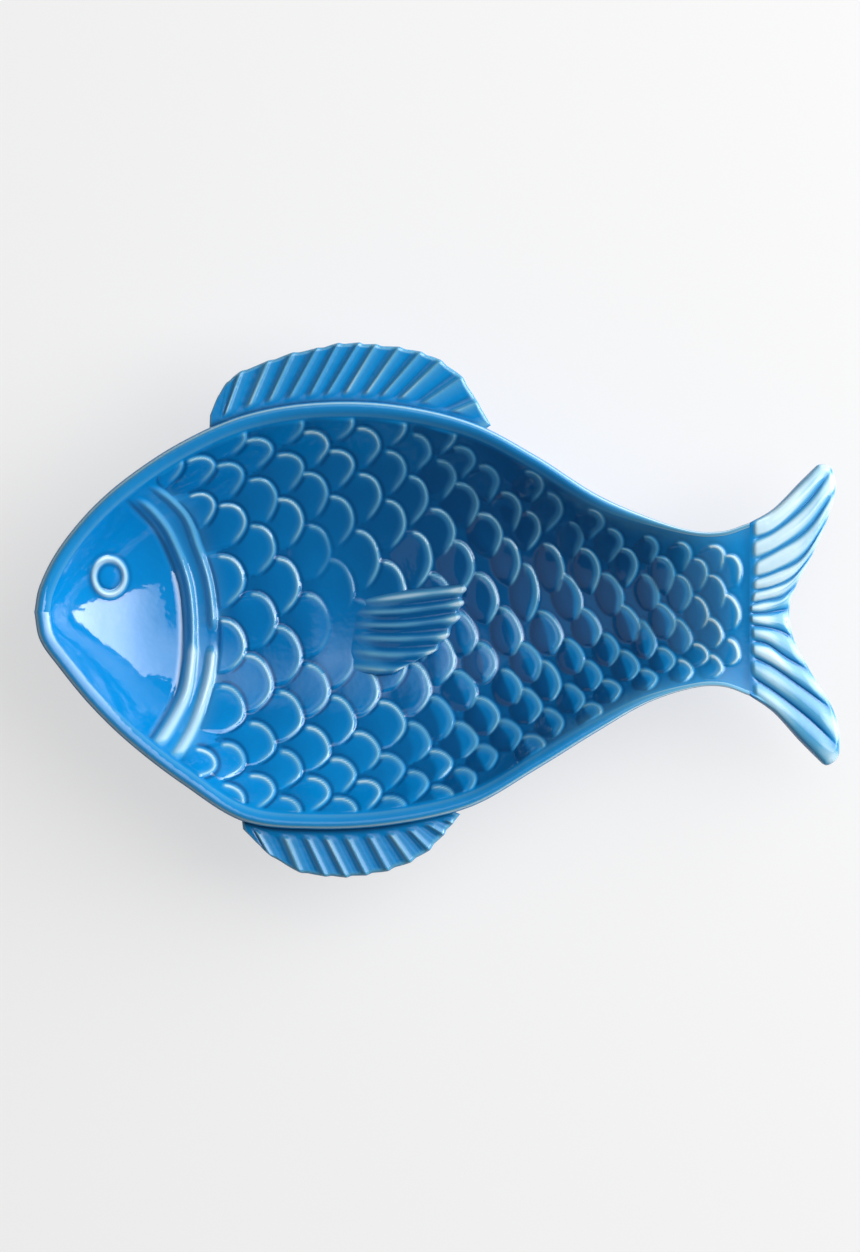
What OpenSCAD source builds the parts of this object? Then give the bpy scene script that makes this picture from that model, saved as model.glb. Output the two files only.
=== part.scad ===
// A glazed stoneware serving dish in the shape of a fish.
// X runs from the nose to the tail, Y to the dorsal fin and Z up from the table.
// The origin is on the table, at the middle of the dish's outline box.

/* [Dish] */
// Length from the nose to the tail's tips
plate_l = 300; // [260:5:340]
// Width from the dorsal fin's edge to the ventral fin's edge
plate_w = 199.5; // [180:0.5:230]
// Height of the rim's crest above the table
plate_h = 45; // [40:1:56]
// Thickness of the floor in the middle of the well
floor_t = 4.5; // [3.5:0.5:7]
// Height of the wall's upright edge, which the fins are luted to
lip_t = 5; // [4.5:0.5:7]
// Thin layer of slip between two luted pieces
slip_gap = 0.2; // [0.1:0.05:0.3]

/* [Rim] */
// Width of the rolled rim
rim_w = 6; // [5:0.5:8]
// Height of the rolled rim above the wall
rim_h = 2.5; // [2:0.25:4]
// How far the rim stands out past the wall
rim_overhang = 2; // [1.5:0.25:2.5]
// How far the rim's outer edge rolls down over the wall
rim_roll = 1.5; // [1:0.25:2]

/* [Foot] */
// Length of the unglazed foot ring
foot_l = 132; // [110:2:140]
// Width of the foot ring
foot_w = 62; // [50:2:64]
// Height of the foot ring
foot_h = 3.5; // [2.5:0.5:5]
// Width of the band that touches the table
foot_band = 5; // [4:0.5:8]

/* [Head] */
// Outer radius of the ring round the eye
eye_r = 7.8; // [6:0.2:9]
// Width of the eye ring's band
eye_band = 2.4; // [1.6:0.2:3]
// Height of the eye ring
eye_h = 1.6; // [1:0.2:2.4]
// Height of the dome inside the eye ring
eye_dome_h = 1.2; // [0.8:0.2:2]
// Width of the gill cover's two ridges
gill_w = 3.4; // [2.4:0.2:4.4]
// Height of the gill cover's two ridges
gill_h = 1.8; // [1:0.2:2.6]

/* [Scales] */
// Spacing of the scales along a row, at the gill
scale_l = 21.2; // [19:0.2:24]
// Height of a scale's crest above the well
scale_t = 1.7; // [1.2:0.1:2.4]
// Height of a scale's low back edge
scale_edge = 0.6; // [0.4:0.1:0.9]
// Clear width kept between the scales and the rim, gill and tail
scale_gap = 1; // [0.6:0.2:2]
// Rise of the middle row's bow towards the belly
scale_sag = 8.2; // [4:0.2:10]

/* [Fins] */
// Thickness of the dorsal and ventral fins
fin_t = 3.6; // [3:0.2:4.2]
// Height of a fin ray's crest
ray_h = 1.2; // [0.6:0.2:2]
// Depth of the notch between two rays at a fin's edge
notch = 1.1; // [0.4:0.1:1.6]
// Thickness of the pectoral fin at its free edge
pectoral_t = 3.2; // [2.4:0.2:4.2]
// Thickness of the pectoral fin where it grows out of the flank
pectoral_root_t = 1; // [0.8:0.2:1.6]

/* [Tail] */
// Thickness of the tail at its outer edge
tail_t = 4.6; // [3.6:0.2:6]
// How far the tail's outer edge hangs below the rim's seat
tail_drop = 5.5; // [2:0.5:9]
// Height of the tail's broad rays
tail_ray_h = 1.4; // [0.8:0.2:2.2]

/* [Hidden] */

nose_x = -plate_l / 2;
rim_seat_z = plate_h - rim_h;
wall_low_z = rim_seat_z - lip_t;
well_d = rim_seat_z - foot_h - floor_t;
// The underside runs a little fuller than the well, so that a flat land is left for the foot
land_share = 0.85;
under_d = (wall_low_z - foot_h) / land_share;
// The walls' cross-section: higher powers have a flatter floor and steeper walls
wall_power_share = 2.6;

// The body at stations from the nose to the tail's root: the place along the length,
// the back's and the belly's edges as shares of the width, and the depth of the well
body_shares = [
    [0.000, -0.004, -0.004, 0.00],
    [0.007, 0.047, -0.056, 0.10],
    [0.030, 0.114, -0.106, 0.33],
    [0.070, 0.188, -0.179, 0.60],
    [0.119, 0.252, -0.250, 0.83],
    [0.184, 0.315, -0.325, 0.96],
    [0.260, 0.365, -0.395, 1.00],
    [0.347, 0.388, -0.410, 1.00],
    [0.444, 0.385, -0.402, 1.00],
    [0.541, 0.352, -0.368, 0.985],
    [0.622, 0.289, -0.299, 0.90],
    [0.696, 0.218, -0.230, 0.72],
    [0.758, 0.176, -0.176, 0.48],
    [0.814, 0.149, -0.147, 0.25],
    [0.854, 0.147, -0.143, 0.11],
    [0.888, 0.163, -0.160, 0.04],
];
tail_seat_x = nose_x + body_shares[len(body_shares) - 1][0] * plate_l;
// Where along the stations the body is widest, and how fast its edge turns there from the nose
crown_share = 0.533;
turn_share = 0.7;
// Where the rim starts to thin, where it ends, and how thin it is there
rim_thin_share = 0.68;
rim_end_share = 0.88;
rim_tip_share = 0.3;

// The middle of the foot ring along the length
foot_share = 0.376;

// The eye's centre
eye_share = [0.092, 0.062];
// The gill cover's ridges: the ends across the width, then places along the length
gill_front_ends = [0.213, -0.261];
gill_front_shares = [0.128, 0.159, 0.177, 0.189, 0.194, 0.195, 0.193, 0.187, 0.171, 0.150];
gill_rear_ends = [0.237, -0.284];
gill_rear_shares = [0.144, 0.186, 0.203, 0.216, 0.222, 0.223, 0.220, 0.211, 0.197, 0.174];

// The scales: the first tip, the shrink from one scale to the next along a row,
// and the angle that parts two rows on the curved walls, at the gill and at the tail
first_tip_share = 0.2605;
scale_shrink_share = 0.945;
row_step_front = 10.4;
row_step_tail = 18.5;
row_step_ends = [0.5, 0.8];
row_limit = 76;
row_mid_share = 0.002;
scale_count = 12;
// How much of a scale must be clear of the gill cover for it to be laid
front_room_share = 0.45;
row_bow_ends = [0.256, 0.876];
// A scale's outline: its length, its half height and its back's bulge, as shares of the spacing
scale_front_share = 0.38;
scale_back_share = 0.24;
scale_half_share = 0.62;
scale_crest_share = 0.24;

// The dorsal fin's rays: the root along the length, then the tip along and across
dorsal_shares = [
    [0.217, 0.218, 0.364],
    [0.222, 0.227, 0.397],
    [0.226, 0.238, 0.424],
    [0.231, 0.256, 0.446],
    [0.259, 0.290, 0.466],
    [0.284, 0.320, 0.481],
    [0.308, 0.351, 0.490],
    [0.334, 0.377, 0.499],
    [0.354, 0.403, 0.500],
    [0.377, 0.424, 0.497],
    [0.401, 0.453, 0.492],
    [0.420, 0.480, 0.483],
    [0.442, 0.505, 0.467],
    [0.468, 0.532, 0.435],
    [0.504, 0.551, 0.388],
    [0.556, 0.567, 0.345],
];
ventral_shares = [
    [0.257, 0.259, -0.409],
    [0.261, 0.276, -0.435],
    [0.266, 0.293, -0.459],
    [0.304, 0.329, -0.490],
    [0.330, 0.361, -0.498],
    [0.354, 0.387, -0.500],
    [0.380, 0.412, -0.496],
    [0.407, 0.439, -0.488],
    [0.431, 0.467, -0.472],
    [0.453, 0.491, -0.449],
    [0.473, 0.509, -0.420],
    [0.496, 0.520, -0.399],
    [0.514, 0.529, -0.381],
];
// The plain band between the rim and the rays, and the ends without rays
ray_start_share = 0.22;

// The pectoral fin's rays, each from its root over its middle to its tip
pectoral_shares = [
    [[0.390, 0.013], [0.460, 0.026], [0.537, 0.039]],
    [[0.386, -0.004], [0.454, -0.002], [0.534, 0.013]],
    [[0.384, -0.026], [0.454, -0.028], [0.529, -0.015]],
    [[0.381, -0.050], [0.452, -0.054], [0.515, -0.049]],
    [[0.378, -0.075], [0.444, -0.084], [0.498, -0.078]],
    [[0.374, -0.101], [0.427, -0.112], [0.457, -0.110]],
];
// The lines between the tail's broad rays, each from the root to the outer edge
tail_shares = [
    [[0.888, 0.163], [0.918, 0.190], [0.949, 0.237], [0.978, 0.274]],
    [[0.888, 0.129], [0.919, 0.149], [0.954, 0.192], [0.986, 0.265]],
    [[0.888, 0.088], [0.923, 0.114], [0.960, 0.153], [0.994, 0.226]],
    [[0.888, 0.056], [0.919, 0.071], [0.954, 0.101], [0.986, 0.172]],
    [[0.888, 0.034], [0.916, 0.043], [0.942, 0.062], [0.968, 0.108]],
    [[0.888, 0.011], [0.906, 0.017], [0.927, 0.024], [0.947, 0.047]],
    [[0.888, -0.006], [0.904, -0.006], [0.922, -0.002], [0.938, 0.002]],
    [[0.888, -0.028], [0.908, -0.032], [0.926, -0.039], [0.943, -0.052]],
    [[0.888, -0.056], [0.911, -0.065], [0.935, -0.090], [0.964, -0.114]],
    [[0.888, -0.086], [0.916, -0.106], [0.954, -0.146], [0.993, -0.188]],
    [[0.888, -0.123], [0.919, -0.153], [0.959, -0.201], [1.000, -0.256]],
    [[0.888, -0.160], [0.918, -0.192], [0.950, -0.244], [0.988, -0.297]],
];

// How finely each surface is divided
bowl_rows = 33;
bowl_cols = 24;
rim_rows = 46;
rim_cols = 6;
eye_sides = 24;
dome_cols = 6;
gill_rows = 18;
gill_cols = 4;
fin_steps = 3;
fin_cols = 4;
pectoral_steps = 4;
pectoral_cols = 5;
tail_steps = 3;
tail_cols = 5;
scale_sides = 9;
foot_sides = 64;

// Curves and shares

function mix(a, b, f) = a + (b - a) * f;
function clamp(f) = max(0, min(1, f));
function ease(f) = clamp(f) * clamp(f) * (3 - 2 * clamp(f));

// A list's value, carried on in a straight line past its ends
function at(list, i) = let (last = len(list) - 1)
    i < 0 ? list[0] + i * (list[1] - list[0])
    : i > last ? list[last] + (i - last) * (list[last] - list[last - 1])
    : list[i];

// The smooth curve through a list's values, with f from 0 to 1
function smooth(list, f) = let (
        place = f * (len(list) - 1),
        i = min(floor(place), len(list) - 2),
        g = place - i,
        a = at(list, i - 1),
        b = at(list, i),
        c = at(list, i + 1),
        d = at(list, i + 2)
    ) b + g / 2 * (c - a + g * (2 * a - 5 * b + 4 * c - d + g * (3 * b - a - 3 * c + d)));

function place_x(share) = nose_x + share * plate_l;
function place_y(share) = share * plate_w;
function place(shares) = [place_x(shares[0]), place_y(shares[1])];

// The body's outline, drawn in by an inset

function turn(t) = 90 * pow(clamp(t / crown_share), turn_share);
function section_x(t, inset) = place_x(smooth(body_shares, t)[0]) + inset * cos(turn(t));
function back_y(t, inset) = place_y(smooth(body_shares, t)[1]) - inset * sin(turn(t));
function belly_y(t, inset) = place_y(smooth(body_shares, t)[2]) + inset * sin(turn(t));

// The rim thins out towards the tail, and the well widens with it
function rim_share(t) = mix(1, rim_tip_share, ease((t - rim_thin_share) / (rim_end_share - rim_thin_share)));
function well_inset(t) = rim_w * rim_share(t);
function wall_inset(t) = rim_overhang * rim_share(t);

// The first section is a narrow one, so that the nose closes without a point
function nose_half(i) = i == 0 ? slip_gap : 0;

function across(t, v, inset) = mix(belly_y(t, inset), back_y(t, inset), (v + 1) / 2);
function hollow(t, v) = smooth(body_shares, t)[3] * (1 - pow(min(1, abs(v)), wall_power_share));
function well_z(t, v) = rim_seat_z - well_d * hollow(t, v);
function under_z(t, v) = max(foot_h, wall_low_z - under_d * hollow(t, v));

// The station whose section of the well lies at x
function station(x, low = 0, high = 1, tries = 16) = let (middle = (low + high) / 2)
    tries == 0 ? middle
    : section_x(middle, well_inset(middle)) < x ? station(x, middle, high, tries - 1)
    : station(x, low, middle, tries - 1);

// The station where the outline drawn in by an inset passes x
function edge_station(x, inset, low = 0, high = 1, tries = 16) = let (middle = (low + high) / 2)
    tries == 0 ? middle
    : section_x(middle, inset) < x ? edge_station(x, inset, middle, high, tries - 1)
    : edge_station(x, inset, low, middle, tries - 1);

// The height of the well's surface at a place
function well_at(x, y) = let (
        t = station(x),
        low = belly_y(t, well_inset(t)),
        high = back_y(t, well_inset(t))
    ) well_z(t, 2 * (y - low) / (high - low) - 1);

// Solids

// A closed solid between two grids of the same size, where rows x columns points up
module slab(top, under) {
    rows = len(top);
    cols = len(top[0]);
    lift = rows * cols;
    points = concat([for (row = top) each row], [for (row = under) each row]);
    inner = [for (i = [0 : rows - 2], j = [0 : cols - 2]) i * cols + j];
    faces = concat(
        [for (k = inner) each [[k, k + 1, k + cols + 1], [k, k + cols + 1, k + cols]]],
        [for (k = inner) each [[lift + k, lift + k + cols + 1, lift + k + 1],
            [lift + k, lift + k + cols, lift + k + cols + 1]]],
        [for (j = [0 : cols - 2]) let (e = lift - cols) each [
            [j + 1, j, lift + j], [j + 1, lift + j, lift + j + 1],
            [e + j, e + j + 1, lift + e + j + 1], [e + j, lift + e + j + 1, lift + e + j]]],
        [for (i = [0 : rows - 2]) let (k = i * cols, e = k + cols - 1) each [
            [k, k + cols, lift + k + cols], [k, lift + k + cols, lift + k],
            [e + cols, e, lift + e], [e + cols, lift + e, lift + e + cols]]]
    );
    polyhedron(points, faces, convexity = 10);
}

// A solid between an outline on the well and the same outline raised, with one crest
module tile(base, raised, crest) {
    sides = len(base);
    middle = [for (axis = [0 : 2]) [for (p = base) p[axis]] * [for (p = base) 1] / sides];
    points = concat(base, raised, [[middle[0], middle[1], well_at(middle[0], middle[1]) + slip_gap], crest]);
    faces = [for (i = [0 : sides - 1]) let (next = (i + 1) % sides) each [
        [next, i, 2 * sides],
        [sides + next, sides + i, i],
        [sides + next, i, next],
        [sides + i, sides + next, 2 * sides + 1]]];
    polyhedron(points, faces, convexity = 4);
}

// Bowl and rim

module bowl() {
    top = [for (i = [0 : bowl_rows]) let (t = i / bowl_rows, w = wall_inset(t), n = well_inset(t)) [
        [section_x(t, w), belly_y(t, w) - nose_half(i), rim_seat_z],
        for (j = [0 : bowl_cols]) let (v = 2 * j / bowl_cols - 1)
            [section_x(t, n), across(t, v, n) + v * nose_half(i), well_z(t, v)],
        [section_x(t, w), back_y(t, w) + nose_half(i), rim_seat_z]]];
    under = [for (i = [0 : bowl_rows]) let (t = i / bowl_rows, w = wall_inset(t)) [
        for (j = [0 : bowl_cols + 2]) let (v = 2 * j / (bowl_cols + 2) - 1)
            [section_x(t, w), across(t, v, w) + v * nose_half(i), under_z(t, v)]]];
    color("royalblue") slab(top, under);
}

// The rim's section runs from its outer edge over the crest to the well, hooked over the wall
module rim() {
    path = [for (i = [-rim_rows / 2 : rim_rows / 2]) i / (rim_rows / 2) * rim_end_share];
    top = [for (s = path) let (w = well_inset(abs(s)), h = rim_h * rim_share(abs(s))) [
        for (j = [0 : rim_cols]) let (a = 180 * j / rim_cols)
            rim_point(s, w * (1 - cos(a)) / 2, rim_seat_z + h * sin(a))]];
    under = [for (s = path) let (w = well_inset(abs(s)), lip = wall_inset(abs(s)) - slip_gap) [
        rim_point(s, lip / 4, rim_seat_z - rim_roll),
        rim_point(s, lip, rim_seat_z - rim_roll),
        for (j = [2 : rim_cols]) rim_point(s, mix(lip, w, (j - 2) / (rim_cols - 2)), rim_seat_z)]];
    color("cornflowerblue") slab(top, under);
}

// A point of the rim, on the back for a negative station and on the belly for a positive one
function rim_point(s, inset, z) = let (t = abs(s))
    [section_x(t, inset), s < 0 ? back_y(t, inset) : belly_y(t, inset), z];

// Foot

module foot_outline(inset) {
    polygon([for (i = [0 : foot_sides - 1]) let (a = 360 * i / foot_sides)
        [(foot_l / 2 - inset) * cos(a), (foot_w / 2 - inset) * sin(a)]]);
}

module foot_ring() {
    color("tan") translate([place_x(foot_share), place_y(row_mid_share), 0])
        linear_extrude(foot_h) difference() {
            foot_outline(0);
            foot_outline(foot_band);
        }
}

// Head

// A point over the well, at an angle and a distance from the eye's centre
function eye_point(a, r, h) = let (p = place(eye_share), x = p[0] + r * cos(a), y = p[1] + r * sin(a))
    [x, y, well_at(x, y) + slip_gap + h];

// A ring swept round through closed sections
module hoop(sections) {
    rows = len(sections);
    sides = len(sections[0]);
    function corner(i, j) = (i % rows) * sides + j % sides;
    faces = [for (i = [0 : rows - 1], j = [0 : sides - 1]) each [
        [corner(i, j), corner(i, j + 1), corner(i + 1, j + 1)],
        [corner(i, j), corner(i + 1, j + 1), corner(i + 1, j)]]];
    polyhedron([for (section = sections) each section], faces, convexity = 6);
}

module eye_ring() {
    low = scale_edge / 2;
    sections = [for (i = [0 : eye_sides - 1]) let (a = 360 * i / eye_sides) [
        eye_point(a, eye_r, 0),
        for (b = [0 : 45 : 180])
            eye_point(a, eye_r - eye_band * (1 - cos(b)) / 2, low + (eye_h - low) * sin(b)),
        eye_point(a, eye_r - eye_band, 0)]];
    color("lightskyblue") hoop(sections);
}

module eye_dome() {
    reach = eye_r - eye_band - slip_gap;
    low = scale_edge / 2;
    // A square grid drawn in to a disc
    function share(i) = 2 * i / dome_cols - 1;
    function point(u, v, h) = let (x = u * sqrt(1 - v * v / 2), y = v * sqrt(1 - u * u / 2))
        eye_point(atan2(y, x), reach * norm([x, y]), h * (low + (eye_dome_h - low) * (1 - x * x - y * y)));
    function grid(h) = [for (i = [0 : dome_cols]) [for (j = [0 : dome_cols]) point(share(i), share(j), h)]];
    color("royalblue") slab(grid(1), grid(0));
}

function ridge_place(ends, shares, f) = [place_x(smooth(shares, f)), place_y(mix(ends[0], ends[1], f))];

// A rounded ridge along a line on the well, thinning out at both ends
module ridge(ends, shares) {
    rows = [for (i = [0 : gill_rows]) i / gill_rows];
    function swell(f) = mix(rim_tip_share, 1, pow(sin(180 * f), turn_share));
    function point(f, side, h) = let (
            p = ridge_place(ends, shares, f),
            x = p[0] + side * gill_w / 2 * swell(f)
        ) [x, p[1], well_at(x, p[1]) + slip_gap + h];
    top = [for (f = rows) [for (j = [0 : gill_cols]) let (a = 180 * j / gill_cols)
        point(f, -cos(a), scale_edge / 2 + gill_h * swell(f) * sin(a))]];
    under = [for (f = rows) [for (j = [0 : gill_cols]) point(f, 2 * j / gill_cols - 1, 0)]];
    slab(top, under);
}

module gill_front() {
    color("cornflowerblue") ridge(gill_front_ends, gill_front_shares);
}

module gill_rear() {
    color("cornflowerblue") ridge(gill_rear_ends, gill_rear_shares);
}

// Scales

function along(x) = (x - nose_x) / plate_l;
function tip_x(n) = place_x(first_tip_share)
    + scale_l * (1 - pow(scale_shrink_share, n)) / (1 - scale_shrink_share);
function row_step(x) = mix(row_step_front, row_step_tail,
    ease((along(x) - row_step_ends[0]) / (row_step_ends[1] - row_step_ends[0])));
function row_mid(x) = place_y(row_mid_share) - scale_sag
    * sin(180 * clamp((along(x) - row_bow_ends[0]) / (row_bow_ends[1] - row_bow_ends[0])));
function row_y(k, x) = let (
        t = station(x),
        edge = k > 0 ? back_y(t, well_inset(t)) - scale_gap : belly_y(t, well_inset(t)) + scale_gap
    ) mix(row_mid(x), edge, sin(min(90, abs(k) * row_step(x))));

// The rear edge of the gill cover, which the scales keep clear of
function gill_edge(y) = let (f = (y / plate_w - gill_rear_ends[0]) / (gill_rear_ends[1] - gill_rear_ends[0]))
    place_x(smooth(gill_rear_shares, clamp(f))) + gill_w / 2 + scale_gap;

function scale_place(n, k) = let (
        x = min(tip_x(n), tail_seat_x - scale_gap),
        y = row_y(k, x)
    ) [max(x, gill_edge(y)), y];

function on_surface(p, h) = [p[0], p[1], well_at(p[0], p[1]) + slip_gap + h];

// A scale's outline, as steps along and across from its tip
scale_outline = [
    for (i = [0 : 5]) let (a = 90 - 36 * i)
        [-scale_front_share * (1 - cos(a)), scale_half_share * sin(a)],
    for (i = [0 : 2]) let (a = -45 + 45 * i)
        [-scale_front_share - scale_back_share * cos(a), scale_half_share * sin(a)],
];

module scale_tile(n, k) {
    places = [for (d = scale_outline) scale_place(n + d[0], k + d[1])];
    length_share = scale_front_share + scale_back_share;
    heights = [for (d = scale_outline) mix(scale_edge, scale_t, ease(1 + d[0] / length_share) / 2)];
    tile([for (p = places) on_surface(p, 0)],
        [for (i = [0 : scale_sides - 1]) on_surface(places[i], heights[i])],
        on_surface(scale_place(n - scale_crest_share, k), scale_t));
}

// Rows lie half a scale out of step with their neighbours
module scales() {
    rows = floor(row_limit / row_step_front);
    color("royalblue")
        for (k = [-rows : rows], m = [-2 : scale_count]) {
            n = m + (abs(k) % 2 == 0 ? 1 / 2 : 0);
            x = tip_x(n);
            fits = abs(k) * row_step(x) < row_limit && x < tail_seat_x;
            if (fits && x - gill_edge(row_y(k, x)) > scale_l * front_room_share)
                scale_tile(n, k);
        }
}

// Fins

// Rows of points along a fin: f runs over its rays, c from its root to its edge
module side_fin(rays, side) {
    rows = (len(rays) - 1) * fin_steps;
    root_inset = rim_overhang - slip_gap;
    top_z = rim_seat_z - rim_roll - slip_gap;
    function root(f) = let (
            x = place_x(smooth([for (r = rays) r[0]], f)),
            t = edge_station(x, root_inset)
        ) [section_x(t, root_inset), side > 0 ? back_y(t, root_inset) : belly_y(t, root_inset)];
    function wave(i) = cos(360 * i / fin_steps);
    function tip(f, i) = let (
            a = root(f),
            b = [place_x(smooth([for (r = rays) r[1]], f)), place_y(smooth([for (r = rays) r[2]], f))],
            reach = norm(b - a)
        ) mix(a, b, 1 - min(notch, reach / 4) / reach * (1 - wave(i)) / 2);
    function crest(i, c) = ray_h * ease(c / ray_start_share) * ease(i / (2 * fin_steps))
        * (1 + wave(i)) / 2;
    function point(i, c, z) = let (p = mix(root(i / rows), tip(i / rows, i), c)) [p[0], p[1], z];
    columns = side > 0 ? [0 : fin_cols] : [fin_cols : -1 : 0];
    top = [for (i = [0 : rows]) [for (j = columns) let (c = j / fin_cols)
        point(i, c, top_z + crest(i, c) - (c == 1 ? fin_t / 3 : 0))]];
    under = [for (i = [0 : rows]) [for (j = columns) point(i, j / fin_cols, top_z - fin_t)]];
    slab(top, under);
}

module dorsal_fin() {
    color("steelblue") side_fin(dorsal_shares, 1);
}

module ventral_fin() {
    color("steelblue") side_fin(ventral_shares, -1);
}

// A point of a fan of rays: f runs over the rays, c from their roots to their tips
function fan(rays, f, c) = place(smooth([for (r = rays) smooth(r, c)], f));

module pectoral_fin() {
    rows = (len(pectoral_shares) - 1) * pectoral_steps;
    bed = scale_t + slip_gap;
    function wave(i) = cos(360 * i / pectoral_steps);
    function point(i, j, h) = let (p = fan(pectoral_shares, i / rows, j / pectoral_cols))
        on_surface(p, bed + h);
    top = [for (i = [0 : rows]) [for (j = [0 : pectoral_cols]) let (c = j / pectoral_cols)
        point(i, j, mix(pectoral_root_t, pectoral_t, ease(c)) + ray_h / 2 * c * wave(i))]];
    under = [for (i = [0 : rows]) [for (j = [0 : pectoral_cols]) point(i, j, 0)]];
    color("cornflowerblue") slab(top, under);
}

// The tail leaves the body with the body's own section and flattens towards its edge
module tail_fin() {
    rows = (len(tail_shares) - 1) * tail_steps;
    function bar(i) = abs(sin(180 * i / tail_steps));
    function base_z(v, c) = mix(well_z(1, v), rim_seat_z - tail_drop, ease(c));
    function low_z(v, c) = mix(under_z(1, v), rim_seat_z - tail_drop - tail_t, ease(c));
    function side(i) = 1 - 2 * i / rows;
    function point(i, c, z) = let (p = fan(tail_shares, i / rows, c)) [p[0] + slip_gap * (1 - c), p[1], z];
    top = [for (i = [0 : rows]) [for (j = [0 : tail_cols]) let (c = j / tail_cols)
        point(i, c, base_z(side(i), c) + tail_ray_h * bar(i) * sin(180 * c))]];
    under = [for (i = [0 : rows]) [for (j = [0 : tail_cols]) let (c = j / tail_cols)
        point(i, c, low_z(side(i), c))]];
    color("cornflowerblue") slab(top, under);
}

bowl();
rim();
foot_ring();
eye_ring();
eye_dome();
gill_front();
gill_rear();
scales();
pectoral_fin();
dorsal_fin();
ventral_fin();
tail_fin();
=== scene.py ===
"""Gives a packed fish-shaped dish its glazed surface: well, rim, scales, fins, tail and bare foot."""

import math

import bmesh
import bpy
import numpy as np
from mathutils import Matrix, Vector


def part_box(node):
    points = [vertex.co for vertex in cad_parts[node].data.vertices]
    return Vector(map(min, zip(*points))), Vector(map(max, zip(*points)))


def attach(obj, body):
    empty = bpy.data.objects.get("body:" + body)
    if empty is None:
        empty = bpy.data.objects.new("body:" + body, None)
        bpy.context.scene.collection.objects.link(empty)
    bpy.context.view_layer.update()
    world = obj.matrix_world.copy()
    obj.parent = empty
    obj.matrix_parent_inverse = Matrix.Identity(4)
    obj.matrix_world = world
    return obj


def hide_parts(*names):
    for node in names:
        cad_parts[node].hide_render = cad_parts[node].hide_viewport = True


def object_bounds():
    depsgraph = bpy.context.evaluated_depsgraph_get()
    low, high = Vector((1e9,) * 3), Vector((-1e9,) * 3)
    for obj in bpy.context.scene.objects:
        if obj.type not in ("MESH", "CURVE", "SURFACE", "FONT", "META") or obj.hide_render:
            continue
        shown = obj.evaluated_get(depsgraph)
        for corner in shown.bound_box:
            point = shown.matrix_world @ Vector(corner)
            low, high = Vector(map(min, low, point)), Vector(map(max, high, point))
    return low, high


bl_info = {
    "name": "Fish Dish",
    "version": (1, 0, 0),
    "blender": (4, 5, 0),
    "location": "View3D > Sidebar > Fish Dish",
    "description": "Models a glazed stoneware serving dish in the shape of a fish",
    "category": "Object",
}

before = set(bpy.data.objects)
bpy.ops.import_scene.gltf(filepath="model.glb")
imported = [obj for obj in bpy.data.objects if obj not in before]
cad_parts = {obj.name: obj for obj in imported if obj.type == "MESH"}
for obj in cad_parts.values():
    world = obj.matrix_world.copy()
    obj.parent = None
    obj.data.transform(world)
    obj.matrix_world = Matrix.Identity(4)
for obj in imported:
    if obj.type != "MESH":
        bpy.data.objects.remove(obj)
CAD_BOX = [list(corner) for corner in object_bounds()]
LONG, WIDE, TALL = (high - low for low, high in zip(*CAD_BOX))
NOSE = CAD_BOX[0][0]
MM = 0.001

# The dish's heights and widths, as its source has them
RIM_H = 2.5 * MM
RIM_W = 6 * MM
RIM_SEAT = TALL - RIM_H
WALL_LOW = RIM_SEAT - 5 * MM
FOOT_H = 3.5 * MM
FOOT_W = 5 * MM
BASE_T = 4.5 * MM
WELL_DEEP = RIM_SEAT - FOOT_H - BASE_T
UNDER_DEEP = (WALL_LOW - FOOT_H) / 0.85
OVERHANG = 2 * MM
FIN_INSET = 1.8 * MM
TAIL_DROP = 5.5 * MM
TAIL_T = 4.6 * MM
# How sharply the well's floor turns up into its walls
WALL_POWER = 2.6
# The rim thins to this share of its size at the tail
RIM_TAIL_SHARE = 0.3

# Stations from nose to tail: place along the length, back edge, belly edge, depth of the well
BODY = np.array([
    (0.000, -0.004, -0.004, 0.00), (0.007, 0.047, -0.056, 0.10), (0.030, 0.114, -0.106, 0.33),
    (0.070, 0.188, -0.179, 0.60), (0.119, 0.252, -0.250, 0.83), (0.184, 0.315, -0.325, 0.96),
    (0.260, 0.365, -0.395, 1.00), (0.347, 0.388, -0.410, 1.00), (0.444, 0.385, -0.402, 1.00),
    (0.541, 0.352, -0.368, 0.985), (0.622, 0.289, -0.299, 0.90), (0.696, 0.218, -0.230, 0.72),
    (0.758, 0.176, -0.176, 0.48), (0.814, 0.149, -0.147, 0.25), (0.854, 0.147, -0.143, 0.080),
    (0.888, 0.163, -0.160, 0.04),
])
# The rim's section: distance in from the outline and height over the seat, in millimetres
RIM_SECTION = np.array([
    (1.8, -1.5), (0.9, -1.5), (0.1, -1.2), (0.0, -0.2), (0.3, 1.2),
    (1.1, 2.25), (2.2, 2.5), (3.4, 2.15), (4.6, 1.35), (6.0, 0.0),
])
# Gill ridges: their ends as shares of the width, and places along the length between them
GILL_FRONT = (0.213, -0.261, (0.128, 0.159, 0.177, 0.189, 0.194, 0.195, 0.193, 0.187, 0.171, 0.150))
GILL_REAR = (0.237, -0.284, (0.144, 0.184, 0.200, 0.213, 0.219, 0.220, 0.217, 0.208, 0.194, 0.172))
# Where the ridges break off, and their half widths above and below it, in millimetres
GILL_BREAK = -0.0104
GILL_HALF = (2.3, 3.0)

# The eye's middle as shares of length and width, its narrowness, and its radii
EYE = (0.092, 0.062)
EYE_NARROW = 0.87
EYE_RING_R = 6.6 * MM
EYE_RING_HALF = 2.0 * MM
EYE_DOME_R = 5.4 * MM

# The net of scales along the length: first tip, step there, and share for each next step
FIRST_TIP = 0.2605
SCALE_LONG = 21.2 * MM
SCALE_SHRINK = 0.945
# Across it, in degrees: the rows' step and the last row, at the gill and at the tail
ROW_STEP = (10.4, 18.5)
ROW_LAST = (75, 69)
# Rows beyond this angle stand evenly up the wall
ROW_BEND = math.radians(55)
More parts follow.
